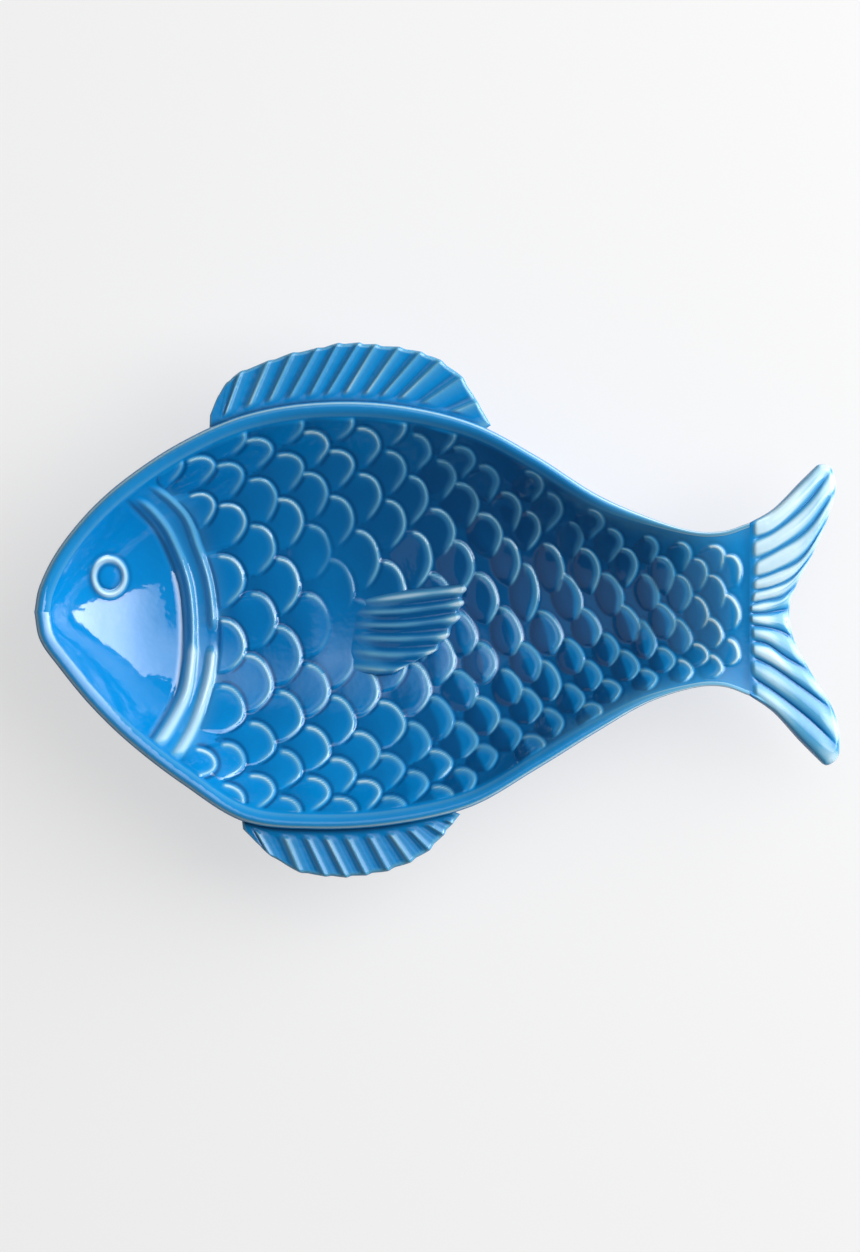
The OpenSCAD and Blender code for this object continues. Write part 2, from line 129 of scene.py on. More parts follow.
# The middle row's place off the axis, its sag, and where that starts and how long it is
ROW_MID = 0.002
ROW_SAG = 8.2 * MM
ROW_SAG_SPAN = (0.256, 0.62)
# How far the net stays clear of the rim, and the last tip before the tail
NET_MARGIN = 1 * MM
LAST_TIP = 0.893

# Pairs for a scale say what holds near the gill and what holds among the pebbly scales further on
SCALE_LONG_SHARE = 0.41
SCALE_HALF_SHARES = (0.86, 0.83)
SCALE_HEIGHT_POWERS = (1.1, 0.6)
SCALE_LINE_SHARES = (1.65, 1.35)
# The line's brightness, its lean towards the back side and its inward glow carry painted highlight on top of
# the thin glaze at the edge; among the pebbly scales the glow is a painted lit crescent
SCALE_BRIGHT = (1.22, 1.0)
SCALE_HIGHLIGHT_LEAN = (0.40, 0.12)
SCALE_HIGHLIGHT_GLOW = (0.22, 0.50)
SCALE_TURN = 12
SCALE_EDGE = 0.5 * MM
# Chances: the key of each and how far it goes
STRAYS = {
    "long": (1, 0.03), "half": (2, 0.05), "turn": (3, 6), "x": (4, 0.04), "y": (5, 0.06),
    "height": (6, 0.12), "bright": (7, 0.25), "dark": (10, 0.08),
    "ray": (8, 0.25), "bar": (8, 1), "painted_glint": (9, 0.5),
}

# Where the well meets the tail along the length, and the glaze pooled there, with its reach in mm
SEAM_AT = 0.888
SEAM_POOL = 0.35
SEAM_SOFT = 2.4
# Paleness of the glaze on both sides of that seam
TAIL_PALE = 0.10

# Rays from root to tip, as shares of the length and the width
DORSAL = np.array([
    (0.217, 0.218, 0.364), (0.222, 0.227, 0.397), (0.226, 0.238, 0.424), (0.231, 0.256, 0.446),
    (0.259, 0.290, 0.466), (0.284, 0.320, 0.481), (0.308, 0.351, 0.490), (0.334, 0.377, 0.499),
    (0.354, 0.403, 0.500), (0.377, 0.424, 0.497), (0.401, 0.453, 0.492), (0.420, 0.480, 0.483),
    (0.442, 0.505, 0.467), (0.468, 0.532, 0.435), (0.504, 0.551, 0.388), (0.556, 0.567, 0.345),
])
VENTRAL = np.array([
    (0.257, 0.259, -0.409), (0.261, 0.276, -0.435), (0.266, 0.293, -0.459), (0.304, 0.329, -0.490),
    (0.330, 0.361, -0.498), (0.354, 0.387, -0.500), (0.380, 0.412, -0.496), (0.407, 0.439, -0.488),
    (0.431, 0.467, -0.472), (0.453, 0.491, -0.449), (0.473, 0.509, -0.420), (0.496, 0.520, -0.399),
    (0.514, 0.529, -0.381),
])
PECTORAL = np.array([
    ((0.390, 0.013), (0.460, 0.026), (0.537, 0.039)),
    ((0.386, -0.004), (0.454, -0.002), (0.534, 0.013)),
    ((0.384, -0.026), (0.454, -0.028), (0.529, -0.015)),
    ((0.381, -0.050), (0.452, -0.054), (0.515, -0.049)),
    ((0.378, -0.075), (0.444, -0.084), (0.498, -0.078)),
    ((0.374, -0.101), (0.427, -0.112), (0.457, -0.110)),
])
TAIL = np.array([
    ((0.888, 0.163), (0.918, 0.190), (0.951, 0.240), (0.979, 0.281)),
    ((0.888, 0.129), (0.919, 0.149), (0.957, 0.198), (0.991, 0.262)),
    ((0.888, 0.088), (0.923, 0.114), (0.960, 0.153), (0.995, 0.224)),
    ((0.888, 0.056), (0.919, 0.071), (0.954, 0.101), (0.986, 0.172)),
    ((0.888, 0.034), (0.916, 0.043), (0.942, 0.062), (0.968, 0.108)),
    ((0.888, 0.011), (0.906, 0.017), (0.927, 0.024), (0.947, 0.047)),
    ((0.888, -0.006), (0.904, -0.006), (0.922, -0.002), (0.938, 0.002)),
    ((0.888, -0.028), (0.908, -0.032), (0.926, -0.039), (0.943, -0.052)),
    ((0.888, -0.056), (0.911, -0.065), (0.935, -0.090), (0.964, -0.114)),
    ((0.888, -0.086), (0.916, -0.106), (0.954, -0.146), (0.993, -0.188)),
    ((0.888, -0.123), (0.919, -0.153), (0.960, -0.201), (1.001, -0.258)),
    ((0.888, -0.160), (0.918, -0.192), (0.951, -0.246), (0.990, -0.304)),
])


# Curves


def mix(a, b, f):
    """The value a share f of the way from a to b."""
    return a + (b - a) * f


def unit(f):
    """A share held between 0 and 1."""
    return np.clip(f, 0, 1)


def ease(f):
    """A share from 0 to 1 that starts and stops gently."""
    f = unit(f)
    return f * f * (3 - 2 * f)


def rise(value, start, width):
    """Climbs gently from 0 at the start to 1, one width further on."""
    return ease((value - start) / width)


def fall(value, end, width):
    """Drops gently from 1, one width before the end, to 0 at the end."""
    return ease((end - value) / width)


def bell(off, reach, power=2):
    """1 at no offset, dying away over the reach."""
    return np.exp(-((off / reach) ** power))


def patch(x, y, centre, reach, power=2):
    """1 at a centre, dying away over a reach along x and y, in millimetres."""
    across = (x - centre[0] * MM) / (reach[0] * MM)
    return np.exp(-(across**power) - ((y - centre[1] * MM) / (reach[1] * MM)) ** power)


def crest(off):
    """A rounded ridge between the offsets -1 and 1."""
    return np.where(np.abs(off) < 1, np.cos(off * np.pi / 2) ** 2, 0)


def early(f, power):
    """A share that grows fast at first and slowly towards 1."""
    return 1 - (1 - f) ** power


def along(x):
    """Share of the fish's length at x."""
    return (x - NOSE) / LONG


def smooth_max(a, b, soft):
    """The larger of two heights, with a soft turn between them."""
    return (a + b + np.sqrt((a - b) ** 2 + soft * soft)) / 2


def rounded(gap, radius):
    """The drop of a rounded edge at a distance in from it."""
    g = unit(gap / radius)
    return radius * (1 - np.sqrt(unit(1 - (1 - g) ** 2)))


def spline(a, b, c, d, g):
    """The curve from b to c at the share g, with a before and d behind."""
    return b + g / 2 * (c - a + g * (2 * a - 5 * b + 4 * c - d + g * (3 * b - a - 3 * c + d)))


def smooth(rows, f):
    """The smooth curve through the rows at f."""
    rows = np.asarray(rows, float)
    place = np.asarray(f, float) * (len(rows) - 1)
    i = np.clip(np.floor(place).astype(int), 0, len(rows) - 2)
    g = (place - i).reshape(place.shape + (1,) * (rows.ndim - 1))
    padded = np.concatenate([2 * rows[:1] - rows[1:2], rows, 2 * rows[-1:] - rows[-2:-1]])
    return spline(*(padded[i + k] for k in range(4)), g)


def fan(rays, f, c):
    """A point of a fan of rays: f runs over the rays and c along them."""
    lengthwise = smooth(np.moveaxis(rays, 1, 0), c)
    places = lengthwise.shape[:-2]
    flat = lengthwise.reshape(-1, *lengthwise.shape[-2:])
    f = np.broadcast_to(f, places).ravel()
    last = flat.shape[1] - 1
    i = np.clip(np.floor(f * last).astype(int), 0, last - 1)
    g = (f * last - i)[:, None]
    before, behind = 2 * flat[:, :1] - flat[:, 1:2], 2 * flat[:, -1:] - flat[:, -2:-1]
    padded = np.concatenate([before, flat, behind], axis=1)
    pick = np.arange(len(flat))
    done = spline(*(padded[pick, i + k] for k in range(4)), g).reshape(*places, 2)
    return NOSE + LONG * done[..., 0], WIDE * done[..., 1]


def chance(tip, row, key):
    """A steady number from -1 to 1 for each place on a net."""
    mixed = np.sin(tip * 12.9898 + row * 78.233 + key * 37.719) * 43758.5453
    return 2 * (mixed - np.floor(mixed)) - 1


def stray(what, tip, row, *factors):
    """How far something strays at a place on a net."""
    key, reach = STRAYS[what]
    return math.prod(factors, start=reach) * chance(tip, row, key)


# The body's outline and the well


def rim_share(t):
    """Share of the rim's full size at station t."""
    return mix(1, RIM_TAIL_SHARE, rise(t, 0.68, 0.2))


def outline(t, inset):
    """x, belly y, back y and depth at station t, drawn in by an inset."""
    row = smooth(BODY, t)
    turn = np.radians(90) * unit(np.asarray(t) / 0.533) ** 0.7
    x = NOSE + LONG * row[..., 0] + inset * np.cos(turn)
    belly = WIDE * row[..., 2] + inset * np.sin(turn)
    back = WIDE * row[..., 1] - inset * np.sin(turn)
    return x, belly, back, row[..., 3]


STATIONS = np.linspace(0, 1, 4001)
WELL = outline(STATIONS, RIM_W * rim_share(STATIONS))
EDGE_DX, EDGE_DOWN, EDGE_UP, _ = (np.diff(row) for row in outline(STATIONS, 0))
EDGE_RUN = np.concatenate([[0], np.cumsum(np.hypot(EDGE_DX, (EDGE_UP - EDGE_DOWN) / 2))])


def well_section(x):
    """Belly y, back y and depth of the well at x."""
    t = np.interp(x, WELL[0], STATIONS)
    return tuple(np.interp(t, STATIONS, row) for row in WELL[1:])


def hollow(v):
    """Share of a section's depth at v, which runs from -1 at the belly to 1 at the back."""
    return 1 - np.abs(v) ** WALL_POWER


def well_height(x, y):
    """Height of the well's plain surface."""
    belly, back, depth = well_section(x)
    v = np.clip(2 * (y - belly) / (back - belly) - 1, -1, 1)
    return RIM_SEAT - WELL_DEEP * depth * hollow(v)


# Reliefs on the well. Each gives a height, the glaze's paleness and how far it pools; on the scales the
# paleness holds painted highlight and the pooling painted shade


def gill_line(gill, y):
    """x of a gill ridge at y, and the share along it."""
    f = (y / WIDE - gill[0]) / (gill[1] - gill[0])
    return NOSE + LONG * smooth(np.array(gill[2])[:, None], unit(f))[..., 0], f


def gill_relief(x, y, height):
    """The gill cover's ridges, with a furrow before the front one."""
    lift, thin, pool_and_shade = np.zeros((3, *x.shape))
    lower = fall(y, GILL_BREAK, 6 * MM)
    half = mix(*GILL_HALF, lower) * MM
    for gill in (GILL_FRONT, GILL_REAR):
        line, f = gill_line(gill, y)
        ahead, _ = gill_line(gill, y + MM)
        off = (x - line) / np.hypot(1, (ahead - line) / MM)
        ends = rise(f, 0, 0.05) * fall(f, 1, 0.05)
        if gill is GILL_REAR:
            ends = ends * (1 - 0.9 * bell(y - GILL_BREAK, 5 * MM, 4))
        lift += height * ends * crest(off / half)
        pale = mix(0.8, 1.42, lower) * bell(off, 0.8 * half, 4)
        thin = np.maximum(thin, ends * np.maximum(pale, 0.3 * bell(off, 4.5 * MM)))
        if gill is GILL_FRONT:
            furrow = bell(off + 3.7 * MM, 1.1 * MM) * ends
            lift -= 0.6 * MM * furrow
            pool_and_shade = np.maximum(pool_and_shade, furrow)
    return lift, thin, pool_and_shade


def eye_relief(x, y, ring_height, dome_height):
    """The eye's ring and dome, with glaze pooled beside the ring."""
    r = np.hypot((x - NOSE - LONG * EYE[0]) / EYE_NARROW, y - WIDE * EYE[1])
    ring = crest((r - EYE_RING_R) / EYE_RING_HALF)
    dome = unit(1 - (r / EYE_DOME_R) ** 2)
    outer = bell(r - 9.0 * MM, 0.8 * MM)
    inner = bell(r - 4.6 * MM, 0.9 * MM)
    pool_and_shade = unit(0.4 * outer + 0.6 * inner)
    return ring_height * ring + dome_height * dome, np.minimum(1.5, 2.6 * ring), pool_and_shade


def row_spread(angle):
    """Share of the way from the middle row to the rim at an angle."""
    bent = math.sin(ROW_BEND) + (angle - ROW_BEND) * math.cos(ROW_BEND)
    return np.where(angle < ROW_BEND, np.sin(angle), bent)


def row_angle(spread):
    """The angle at a share of the way from the middle row to the rim."""
    straight = ROW_BEND + (spread - math.sin(ROW_BEND)) / math.cos(ROW_BEND)
    return np.where(spread < math.sin(ROW_BEND), np.arcsin(unit(spread)), straight)


def row_step(share):
    """The angle between two rows at a share of the length."""
    return np.radians(mix(*ROW_STEP, rise(share, 0.5, 0.3)))


def middle_row(share):
    """y of the middle row at a share of the length."""
    start, length_share = ROW_SAG_SPAN
    return WIDE * ROW_MID - ROW_SAG * np.sin(np.pi * unit((share - start) / length_share))


def lattice(x, y):
    """Place n along the rows of scales and k across them, and a step's length of each."""
    run = x - NOSE - LONG * FIRST_TIP
    n = np.log(1 - run * (1 - SCALE_SHRINK) / SCALE_LONG) / math.log(SCALE_SHRINK)
    belly, back, _ = well_section(x)
    step = row_step(along(x))
    mid = middle_row(along(x))
    up = y > mid
    side = np.where(up, back - NET_MARGIN - mid, mid - belly - NET_MARGIN)
    angle = row_angle(np.clip(np.abs(y - mid) / side, 0, 1.1))
    k = np.where(up, angle, -angle) / step
    # One width for the scales across the middle row
    even = mix(mid - belly, back - mid, ease((y - mid) / (12 * MM) + 0.5)) - NET_MARGIN
    py = np.maximum(even, MM) * np.cos(np.minimum(angle, ROW_BEND)) * step
    return n, k, SCALE_LONG * SCALE_SHRINK**n, py


def scale_tip(tip, row):
    """Where the tip of a scale lies, and its row's angle."""
    x = NOSE + LONG * FIRST_TIP + SCALE_LONG * (1 - SCALE_SHRINK**tip) / (1 - SCALE_SHRINK)
    belly, back, _ = well_section(x)
    mid = middle_row(along(x))
    angle = np.abs(row) * row_step(along(x))
    side = np.where(row > 0, back - NET_MARGIN - mid, belly + NET_MARGIN - mid)
    return x, mid + side * row_spread(angle), angle


class Scale:
    """One scale of the net, seen from places x and y on the well."""

    def __init__(self, x, y, tip, row, px, py, pebbly):
        self.y, self.tip, self.row, self.px, self.pebbly = y, tip, row, px, pebbly
        tip_x, tip_y, angle = scale_tip(tip, row)
        self.laid = self.has_room(tip_x, tip_y, angle)
        loose = 1 + 0.7 * pebbly
        self.long = (SCALE_LONG_SHARE + stray("long", tip, row, loose)) * px
        self.half = (mix(*SCALE_HALF_SHARES, pebbly) + stray("half", tip, row, loose)) * py
        near_x, near_y, _ = scale_tip(tip + 0.1, row)
        slope = np.arctan2(near_y - tip_y, near_x - tip_x)
        turn = 0.8 * slope + np.radians(SCALE_TURN + stray("turn", tip, row, loose))
        dx = x - tip_x - stray("x", tip, row, loose, px)
        dy = y - tip_y - stray("y", tip, row, loose, py)
        self.a = dx * np.cos(turn) + dy * np.sin(turn) + self.long
        self.b = dy * np.cos(turn) - dx * np.sin(turn)
        self.wide = np.abs(self.b) / self.half
        self.front = self.past_edge()
        self.back = mix(-0.6, -0.34 * (1 - np.minimum(self.wide, 1.2) ** 2.4), pebbly) * px
        # Line and groove fade out where the scale runs under its neighbours
        self.ends = ease(self.a / (mix(0.5, 0.2, (self.b > 0) * 1.0) * self.long))

    def has_room(self, tip_x, tip_y, angle):
        """Whether the scale is clear of the gill cover, the rim and the tail."""
        last = mix(*ROW_LAST, rise(along(tip_x), 0.6, 0.2))
        gill_x, _ = gill_line(GILL_REAR, tip_y)
        inside = (angle < np.radians(last)) & (tip_x < NOSE + LAST_TIP * LONG)
        return inside & (tip_x - gill_x > 0.42 * SCALE_LONG)

    def past_edge(self):
        """About the distance beyond the front edge, negative on the scale."""
        fore = np.clip(self.a, 0, None) / self.long
        power = 1.65 + 0.45 * np.tanh(self.b / (0.35 * self.half))
        steep = np.hypot(power * fore ** (power - 1) / self.long, 2 * self.wide / self.half)
        return (fore**power + self.wide**2 - 1) / np.maximum(steep, 1 / self.long)

    def heights(self, height):
        """The scale's height, and the same were it not cut off at its front edge."""
        s = unit((self.a - self.back) / (mix(1.0, 0.34, self.pebbly) * self.px))
        ramp = mix(s, early(s, 2.2), self.pebbly)
        height = height * (self.px / SCALE_LONG) ** mix(*SCALE_HEIGHT_POWERS, self.pebbly)
        own = height * (1 + stray("height", self.tip, self.row))
        sloped = unit((self.front + 3.2 * MM) / (3.2 * MM))
        crown = height * mix(0.2 * ease(sloped), 0.5 * sloped, self.pebbly)
        bead = 0.14 * height * bell(self.front + 0.8 * MM, 0.55 * MM)
        cut = 1 - ease((self.front + SCALE_EDGE) / (1.15 * MM))
        tile = np.where(self.laid, cut * ease(ramp * 3) * (own * ramp - crown + bead), 0)
        return tile, np.where(self.laid, own * ramp, 0)

    def line(self, line):
        """The pale line along the front edge: thin glaze with painted highlight, brighter towards the
        back-side end, and a painted lit glow inside it.
        """
        off = self.front + SCALE_EDGE
        reach = np.where(off > 0, 0.8 * line, mix(*SCALE_LINE_SHARES, self.pebbly) * line)
        highlight_glow = mix(*SCALE_HIGHLIGHT_GLOW, self.pebbly) * bell(np.minimum(off, 0), 2.2 * MM) * (off < 0)
        bright = mix(*SCALE_BRIGHT, self.pebbly) + stray("bright", self.tip, self.row)
        bright = bright + mix(*SCALE_HIGHLIGHT_LEAN, self.pebbly) * np.clip(self.b / self.half, -1, 1)
        return np.maximum(bell(off, reach) * bright, highlight_glow) * self.ends * self.laid

    def groove(self):
        """The dark groove just beyond the front edge."""
        return bell(self.front - 1.05 * MM, 0.6 * MM) * self.ends * self.laid * (self.front > 0)

    def shade(self):
        """Painted shade on the scale's back part."""
        whole = np.maximum(self.long * (1 - self.wide**2) - self.back, 0.1 * self.px)
        part = unit((self.a - self.back) / whole)
        plain = 0.6 * rise(self.px / SCALE_LONG, 0.5, 0.2) * (1 - ease(part * 1.15))
        # The painted shade reaches further forward on the back side of the well, whose walls face away from
        # the key lamp
        upper = rise(self.y, -14 * MM, 30 * MM)
        dark_to = 0.46 + 0.34 * upper + stray("dark", self.tip, self.row)
        darkening = mix(plain, 0.95 * (1 - rise(part, dark_to, 0.16)), self.pebbly)
        return darkening * self.laid * (self.front < 0) * (self.a > self.back)


def scale_relief(x, y, height, line):
    """The scales, which overlap towards the tail."""
    n, k, px, py = lattice(x, y)
    pebbly = rise(along(x), 0.4, 0.16) * fall(along(x), 0.88, 0.12)
    layers = []
    for beside in (-1, 0, 1):
        row = np.rint(k) + beside
        offset = np.where(row % 2 == 0, 0.5, 0.0)
        for ahead in (0, 1):
            scale = Scale(x, y, np.floor(n - offset) + ahead + offset, row, px, py, pebbly)
            layers.append((*scale.heights(height), scale.line(line), scale.groove(), scale.shade()))
    tile, level, edge, groove, shade = (np.stack(layer) for layer in zip(*layers))
    lift = tile.max(axis=0)
    ground = 0.7 * pebbly * (1 - ease(lift / (0.15 * height)))
    top = np.argmax(tile, axis=0)[None]
    shown = unit((level - lift) / (0.2 * height))
    thin = np.maximum(np.take_along_axis(edge, top, 0)[0], (edge * shown).max(axis=0))
    own_shade = np.take_along_axis(shade, top, 0)[0]
    pool_and_shade = np.maximum.reduce([own_shade, (groove * shown).max(axis=0), ground])
    return lift, thin, unit(pool_and_shade) * (1 - unit(thin))


def scale_field(x, y):
    """Where the scales show: between gill cover and tail, and less round the pectoral fin's root."""
    gill_x, _ = gill_line(GILL_REAR, y)
    field = ease((x - gill_x - 2.0 * MM) / (1.5 * MM))
    field = field * fall(x, NOSE + SEAM_AT * LONG, 2.2 * MM)
    worn = 0.65 * patch(x, y, (-38, 17), (12, 16))
    root = patch(x, y, (-33, -8), (11, 15), 4)
    return field * (1 - worn) * (1 - root)


def painted_well_shade(x, y):
    """Painted shade over the middle of the well, heaviest towards its back side, with a weaker patch of it
    towards the belly.
    """
    return 0.78 * patch(x, y, (2, 22), (62, 50)) + 0.16 * patch(x, y, (5, -40), (45, 22))


def well_relief(x, y, sizes):
    """All the relief of the well, faded out just inside the rim."""
    belly, back, _ = well_section(x)
    room = np.minimum(y - belly, back - y)
    inside = rise(room, 0, 1.4 * MM)
    field = scale_field(x, y)
    gills = gill_relief(x, y, sizes.gill_height)
    eye = eye_relief(x, y, sizes.eye_height, sizes.eye_dome)
    scales = np.stack(scale_relief(x, y, sizes.scale_height, sizes.scale_line)) * field
    lifts, thins, pools_and_shades = zip(gills, eye, scales)
    tailward = rise(along(x), 0.74, 0.13)
    edge = bell(room, 3.4 * MM) * rise(along(x), 0.58, 0.12)
    thin = np.maximum.reduce(thins) * inside * (1 + 0.3 * tailward) + TAIL_PALE * tailward
    # A faint painted sheen over the scale field
    thin += 0.04 * field * (1 - tailward)
    thin += 0.4 * edge * (1 - 0.6 * tailward)
    pool_and_shade = np.maximum.reduce(pools_and_shades) * inside * (1 - 0.75 * tailward)
    # Painted shade over the well, with glaze pooled along the seam to the tail
    darkening = painted_well_shade(x, y) + SEAM_POOL * bell(x - NOSE - SEAM_AT * LONG, SEAM_SOFT * MM)
    return sum(lifts) * inside, thin, 1 - (1 - pool_and_shade) * (1 - unit(darkening))


# Sheets over the unit square. Their upper and lower sides give x, y, z, the glaze's paleness with painted
# highlight, and its pooling with painted shade


def plain(x, y, z):
    """Places with neither pale nor pooled glaze."""
    return x, y, z, np.zeros_like(x), np.zeros_like(x)


def from_side(u):
    """Distance from the nearer side of a sheet."""
    return np.minimum(u, 1 - u)


def seam_station(v):
    """The station where the seam behind the gill cover crosses the line v."""
    x, belly, back, _ = (row[:, None] for row in WELL)
    line, _ = gill_line(GILL_REAR, mix(belly, back, (v[None, :] + 1) / 2))
    past = x > line + 2.6 * MM
    return STATIONS[np.argmax(past, axis=0)]


class BodySheet:
    """The body before or behind the seam at the gill cover."""

    ACROSS = 256
    RIM = 20 / ACROSS
    SEAM_POINTS = 401
    SEAM_BLUR = 9

    def __init__(self, sizes, head):
        self.sizes, self.head = sizes, head
        self.line = np.linspace(-1, 1, self.SEAM_POINTS)
        padded = np.pad(seam_station(self.line), self.SEAM_BLUR // 2, mode="edge")
        self.seam = np.convolve(padded, np.ones(self.SEAM_BLUR) / self.SEAM_BLUR, "valid")

    def station(self, u, v):
        """The station at a share u along the edge from or to the seam."""
        seam = np.interp(v, self.line, self.seam)
        run = np.interp(seam, STATIONS, EDGE_RUN)
        low, high = (0, run) if self.head else (run, EDGE_RUN[-1])
        return np.interp(mix(low, high, u), EDGE_RUN, STATIONS)

    def over(self, u, w):
        v = np.clip((2 * w - 1) / (1 - 2 * self.RIM), -1, 1)
        t = self.station(u, v)
        share = rim_share(t)
        # q runs from 0 at the rim's outer edge to 1 at the well
        q = from_side(w) / self.RIM
        in_rim = from_side(w) < self.RIM
        section = smooth(RIM_SECTION * MM, unit(q))
        inset = np.where(in_rim, section[..., 0], RIM_W) * share
        x, belly, back, depth = outline(t, inset)
        y = mix(belly, back, (v + 1) / 2)
        well = RIM_SEAT - WELL_DEEP * depth * hollow(v)
        z = np.where(in_rim, RIM_SEAT + section[..., 1] * share, well)
        lift, thin, pool_and_shade = well_relief(x, y, self.sizes)
        # The outer lip line is glaze thin over the crest with a painted highlight on it; the faint inner
        # line is thin glaze at the well's edge
        lip = 1.55 * bell(q - 0.52, 0.05) + 0.35 * bell(q - 0.94, 0.06)
        thin = np.where(in_rim, lip + (1.3 - 1.16 * share) * rise(q, 0.4, 0.1), thin)
        # Painted shade under the rim's outer roll
        pool_and_shade = np.where(in_rim, 0.9 * fall(q, 0.4, 0.08), pool_and_shade)
        return x, y, z + np.where(in_rim, 0, lift), thin, pool_and_shade

    def under(self, u, w):
        v = 2 * w - 1
        t = self.station(u, v)
        x, belly, back, depth = outline(t, OVERHANG * rim_share(t))
        z = WALL_LOW - UNDER_DEEP * depth * hollow(v)
        return plain(x, mix(belly, back, (v + 1) / 2), smooth_max(z, np.full_like(z, FOOT_H), 1.2 * MM))


class FinSheet:
    """The dorsal or ventral fin: u runs over its rays and w out from the rim."""

    TOP = RIM_SEAT - 1.7 * MM
    THICK = 3.6 * MM
    # Typical distance between two rays, in millimetres
    RAY_STEP = 5

    def __init__(self, sizes, rays, side):
        self.sizes, self.rays, self.side = sizes, rays, side
        self.last = len(rays) - 1
        self.first_ridge = 2 if side > 0 else 1

    def place(self, u, c):
        """x and y at a share c along a ray, its length, and the offset from the nearest ray."""
        row = smooth(self.rays, u)
        x, belly, back, _ = outline(STATIONS, FIN_INSET)
        order = np.argsort(x)
        root_x = NOSE + LONG * row[..., 0]
        root_y = np.interp(root_x, x[order], (back if self.side > 0 else belly)[order])
        tip_x, tip_y = NOSE + LONG * row[..., 1], WIDE * row[..., 2]
        reach = np.hypot(tip_x - root_x, tip_y - root_y)
        past = np.mod(u * self.last, 1)
        ends = ease(from_side(u) * self.last / 2)
        notch = np.minimum(1.0 * MM, reach / 8) * rise(past, 0, 0.42) * (1 - past) * ends
        far = (1 - notch / reach) * c
        off = u * self.last - np.rint(u * self.last)
        return mix(root_x, tip_x, far), mix(root_y, tip_y, far), reach, off

    def over(self, u, w):
        c = early(w, 1.5)
        x, y, reach, off = self.place(u, c)
        gap = np.minimum((1 - c) * reach, from_side(u) * self.last * self.RAY_STEP * MM)
        start = rise(c * reach, 4.4 * MM, 2.4 * MM)
        start = start * ease(u * self.last - self.first_ridge) * ease((1 - u) * self.last)
        ridge = bell(off, np.where(off < 0, 0.1, 0.16)) * start
        groove = bell(off + 0.27, 0.1) * start
        slant = unit(1 - off / 0.7) * (off > 0) + rise(off, -0.12, 0.12) * (off <= 0)
        lift = self.sizes.ray_height * (0.42 * ridge + 0.28 * slant * start - 0.12 * groove)
        z = self.TOP - 0.4 * MM + lift - rounded(gap, 1.5 * MM)
        lip = bell(gap - 0.7 * MM, 0.8 * MM)
        strong = (0.85 + stray("ray", np.rint(u * self.last), self.side)) * (1.25 - 0.55 * c)
        faded = bell(np.clip(off, 0, None), 0.34) * (off > 0) * start
        thin = np.maximum.reduce([1.1 * ridge * strong, 0.42 * faded, 0.85 * lip]) + 0.06
        # The dark band at the root, just under the rim, is painted shade
        root = bell(c * reach - 1.8 * MM, 1.6 * MM)
        pool_and_shade = unit(0.55 * groove * (1 - lip) + root)
        return x, y, z, thin, pool_and_shade * (1 - unit(thin))

    def under(self, u, w):
        c = early(w, 1.5)
        x, y, reach, _ = self.place(u, c)
        return plain(x, y, np.full_like(x, self.TOP - self.THICK) + rounded((1 - c) * reach, 1.2 * MM))


